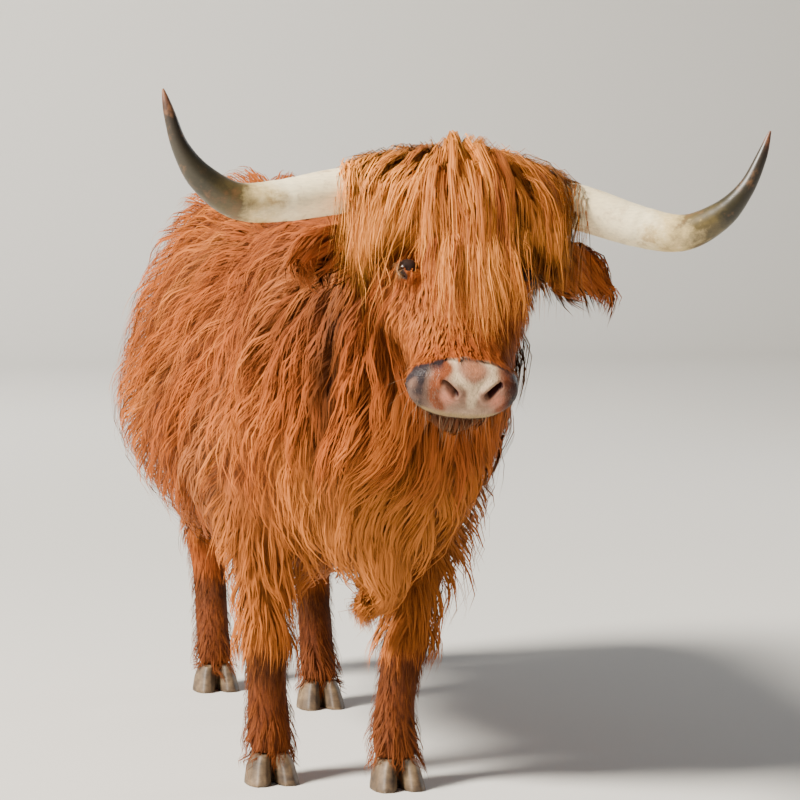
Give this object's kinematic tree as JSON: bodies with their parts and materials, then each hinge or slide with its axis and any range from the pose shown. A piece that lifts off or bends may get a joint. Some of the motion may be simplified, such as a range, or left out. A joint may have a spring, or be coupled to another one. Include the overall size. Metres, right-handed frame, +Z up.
{
  "type": "highland cow",
  "caption": "Life-size standing highland cow with a long shaggy ginger coat, a forelock over the eyes and wide upswept horns; a still display model.",
  "frame": {"origin": "on the floor, below the middle of the cow's bounding box", "axes": "+Z up; the cow faces -Y, so its length is along Y; +X is the cow's own left"},
  "size_m": [1.1518, 2.1518, 1.4189],
  "materials": {
    "coat": "long wavy ginger hair in overlapping locks, redder and darker at the roots",
    "forelock": "long straight hair, straw-gold at the tips over dark red",
    "nose_skin": "moist hairless skin, pale pink and cream with a grey rim",
    "horn": "smooth keratin, cream at the root, grey-brown from the bend and reddish at the tip",
    "hoof": "worn keratin with growth rings",
    "eye": "wet dark brown eye"
  },
  "bodies": {
    "root": {"brisket": "coat", "dewclaw_fore_left_inner": "hoof", "dewclaw_fore_left_outer": "hoof", "dewclaw_fore_right_inner": "hoof", "dewclaw_fore_right_outer": "hoof", "dewclaw_hind_left_inner": "hoof", "dewclaw_hind_left_outer": "hoof", "dewclaw_hind_right_inner": "hoof", "dewclaw_hind_right_outer": "hoof", "ear_left": "coat", "ear_right": "coat", "eye_left": "eye", "eye_right": "eye", "foreleg_left_cannon": "coat", "foreleg_left_pastern": "coat", "foreleg_left_upper": "coat", "foreleg_right_cannon": "coat", "foreleg_right_pastern": "coat", "foreleg_right_upper": "coat", "forelock": "forelock", "head": "coat", "hindleg_left_cannon": "coat", "hindleg_left_pastern": "coat", "hindleg_left_upper": "coat", "hindleg_right_cannon": "coat", "hindleg_right_pastern": "coat", "hindleg_right_upper": "coat", "hoof_fore_left_inner": "hoof", "hoof_fore_left_outer": "hoof", "hoof_fore_right_inner": "hoof", "hoof_fore_right_outer": "hoof", "hoof_hind_left_inner": "hoof", "hoof_hind_left_outer": "hoof", "hoof_hind_right_inner": "hoof", "hoof_hind_right_outer": "hoof", "horn_left": "horn", "horn_right": "horn", "lower_jaw": "coat", "muzzle": "nose_skin", "neck": "coat", "tail_dock": "coat", "tail_switch": "coat", "trunk": "coat"}
  },
  "joints": []
}
